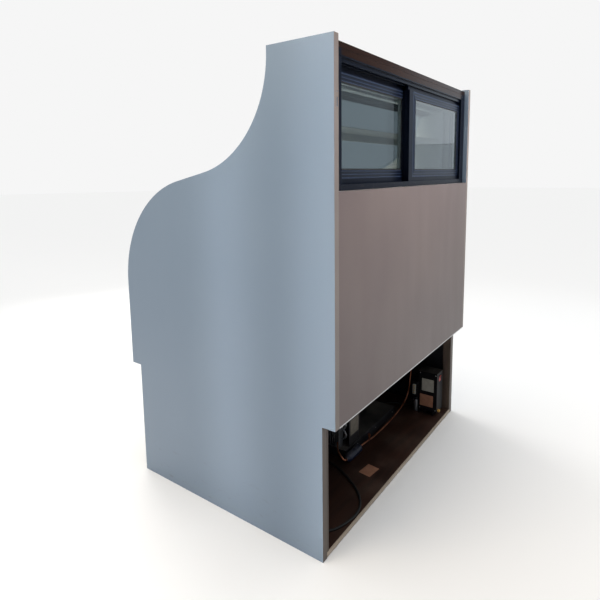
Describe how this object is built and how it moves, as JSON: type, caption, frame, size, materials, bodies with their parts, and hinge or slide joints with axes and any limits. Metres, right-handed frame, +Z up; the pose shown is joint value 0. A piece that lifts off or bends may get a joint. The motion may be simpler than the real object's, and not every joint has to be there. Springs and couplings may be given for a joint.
{
  "type": "glass door merchandiser",
  "caption": "Open-front refrigerated display case with S-shaped end panels, stepped shelves and sliding double-glazed doors in the back over a rear machine bay.",
  "frame": {"origin": "middle of the footprint, on the floor", "axes": "+Z up, -Y towards the customers, +Y towards the staff and the sliding doors, +X along the case"},
  "size_m": [1.27, 1.042, 1.69],
  "materials": {
    "end_laminate": "satin pale grey laminate on board",
    "rear_laminate": "matt warm grey laminate on board",
    "base_board": "dark brown sealed plywood",
    "edge_strip": "dull edging strip",
    "upright_board": "brown-grey laminate on board",
    "top_laminate": "glossy dark brown laminate",
    "zinc_steel": "zinc plated",
    "black_steel": "satin black powder coat",
    "grey_steel": "satin charcoal powder coat",
    "insulated_panel": "foam core with painted metal skins",
    "white_liner": "satin white",
    "white_steel": "satin white powder coat",
    "stainless": "brushed along its length",
    "clear_glass": "clear tempered",
    "coated_glass": "double glazing with a reflective coating",
    "bumper_rubber": "matt black vinyl",
    "dark_anodised": "satin blue-black anodised",
    "bronze_anodised": "glossy dark bronze anodised",
    "spacer_aluminium": "mill finish",
    "bright_aluminium": "satin",
    "white_plastic": "gloss white",
    "lens_plastic": "opal",
    "cell_plastic": "matt dark",
    "copper": "drawn copper, slightly tarnished",
    "fin_aluminium": "thin fin stock",
    "motor_black": "black enamel",
    "compressor_black": "black enamel",
    "fan_grey": "stamped",
    "drier_blue": "blue enamel",
    "switch_red": "gloss red",
    "cord_black": "matt black jacket",
    "plug_black": "moulded black"
  },
  "bodies": {
    "case": {"end_panel_left": "end_laminate", "end_panel_right": "end_laminate", "base_floor": "base_board", "base_edge_trim": "edge_strip", "base_sockets": "zinc_steel", "base_uprights": "upright_board", "kick_panel": "grey_steel", "rear_panel": "rear_laminate", "back_wall": "insulated_panel", "tub_floor": "insulated_panel", "front_wall": "insulated_panel", "front_fascia": "grey_steel", "bumper": "bumper_rubber", "sill_cap": "stainless", "front_glass": "clear_glass", "return_grille": "grey_steel", "deck_pans": "grey_steel", "duct_panel": "grey_steel", "liner_left": "white_liner", "liner_right": "white_liner", "top_board": "top_laminate", "canopy_shell": "grey_steel", "air_honeycomb": "cell_plastic", "lamp_housing": "bright_aluminium", "lamp_lens": "lens_plastic", "shelf_lower": "white_steel", "shelf_upper": "white_steel", "shelf_top": "white_steel", "shelf_brackets": "white_steel", "shelf_standards": "bright_aluminium", "price_rails": "white_plastic", "evaporator_fins": "fin_aluminium", "evaporator_tubes": "copper", "fan_plenum": "zinc_steel", "evaporator_motors": "motor_black", "frame_head": "bronze_anodised", "frame_sill": "dark_anodised", "frame_jambs": "dark_anodised", "unit_base": "black_steel", "compressor": "compressor_black", "condenser_coil": "fin_aluminium", "condenser_shroud": "black_steel", "condenser_motor": "motor_black", "control_box": "black_steel", "copper_lines": "copper", "filter_drier": "drier_blue", "cord_gland": "plug_black", "power_cord": "cord_black", "cord_coil": "cord_black", "plug": "plug_black"},
    "outer_door": {"outer_sash": "dark_anodised", "outer_glass": "coated_glass", "outer_spacer": "spacer_aluminium"},
    "inner_door": {"inner_sash": "dark_anodised", "inner_glass": "coated_glass", "inner_spacer": "spacer_aluminium"},
    "left_fan": {"evaporator_fan_left": "fan_grey"},
    "right_fan": {"evaporator_fan_right": "fan_grey"},
    "condenser_fan": {"condenser_fan": "fan_grey"},
    "light_switch": {"light_switch": "switch_red"}
  },
  "joints": [
    {"name": "outer_door_slide", "type": "slide", "parent": "case", "child": "outer_door", "axis": [1, 0, 0], "range_m": [0, 0.56]},
    {"name": "inner_door_slide", "type": "slide", "parent": "case", "child": "inner_door", "axis": [-1, 0, 0], "range_m": [0, 0.56]},
    {"name": "left_fan_spin", "type": "hinge", "parent": "case", "child": "left_fan", "pos_m": [-0.29, -0.335, 0.611], "axis": [0, 1, 0], "continuous": true},
    {"name": "right_fan_spin", "type": "hinge", "parent": "case", "child": "right_fan", "pos_m": [0.29, -0.335, 0.611], "axis": [0, 1, 0], "continuous": true},
    {"name": "condenser_fan_spin", "type": "hinge", "parent": "case", "child": "condenser_fan", "pos_m": [-0.031, 0.03, 0.196], "axis": [1, 0, 0], "continuous": true},
    {"name": "light_switch_rock", "type": "hinge", "parent": "case", "child": "light_switch", "pos_m": [-0.52, 0.44, 0.222], "axis": [1, 0, 0], "range_deg": [0, 14]}
  ]
}
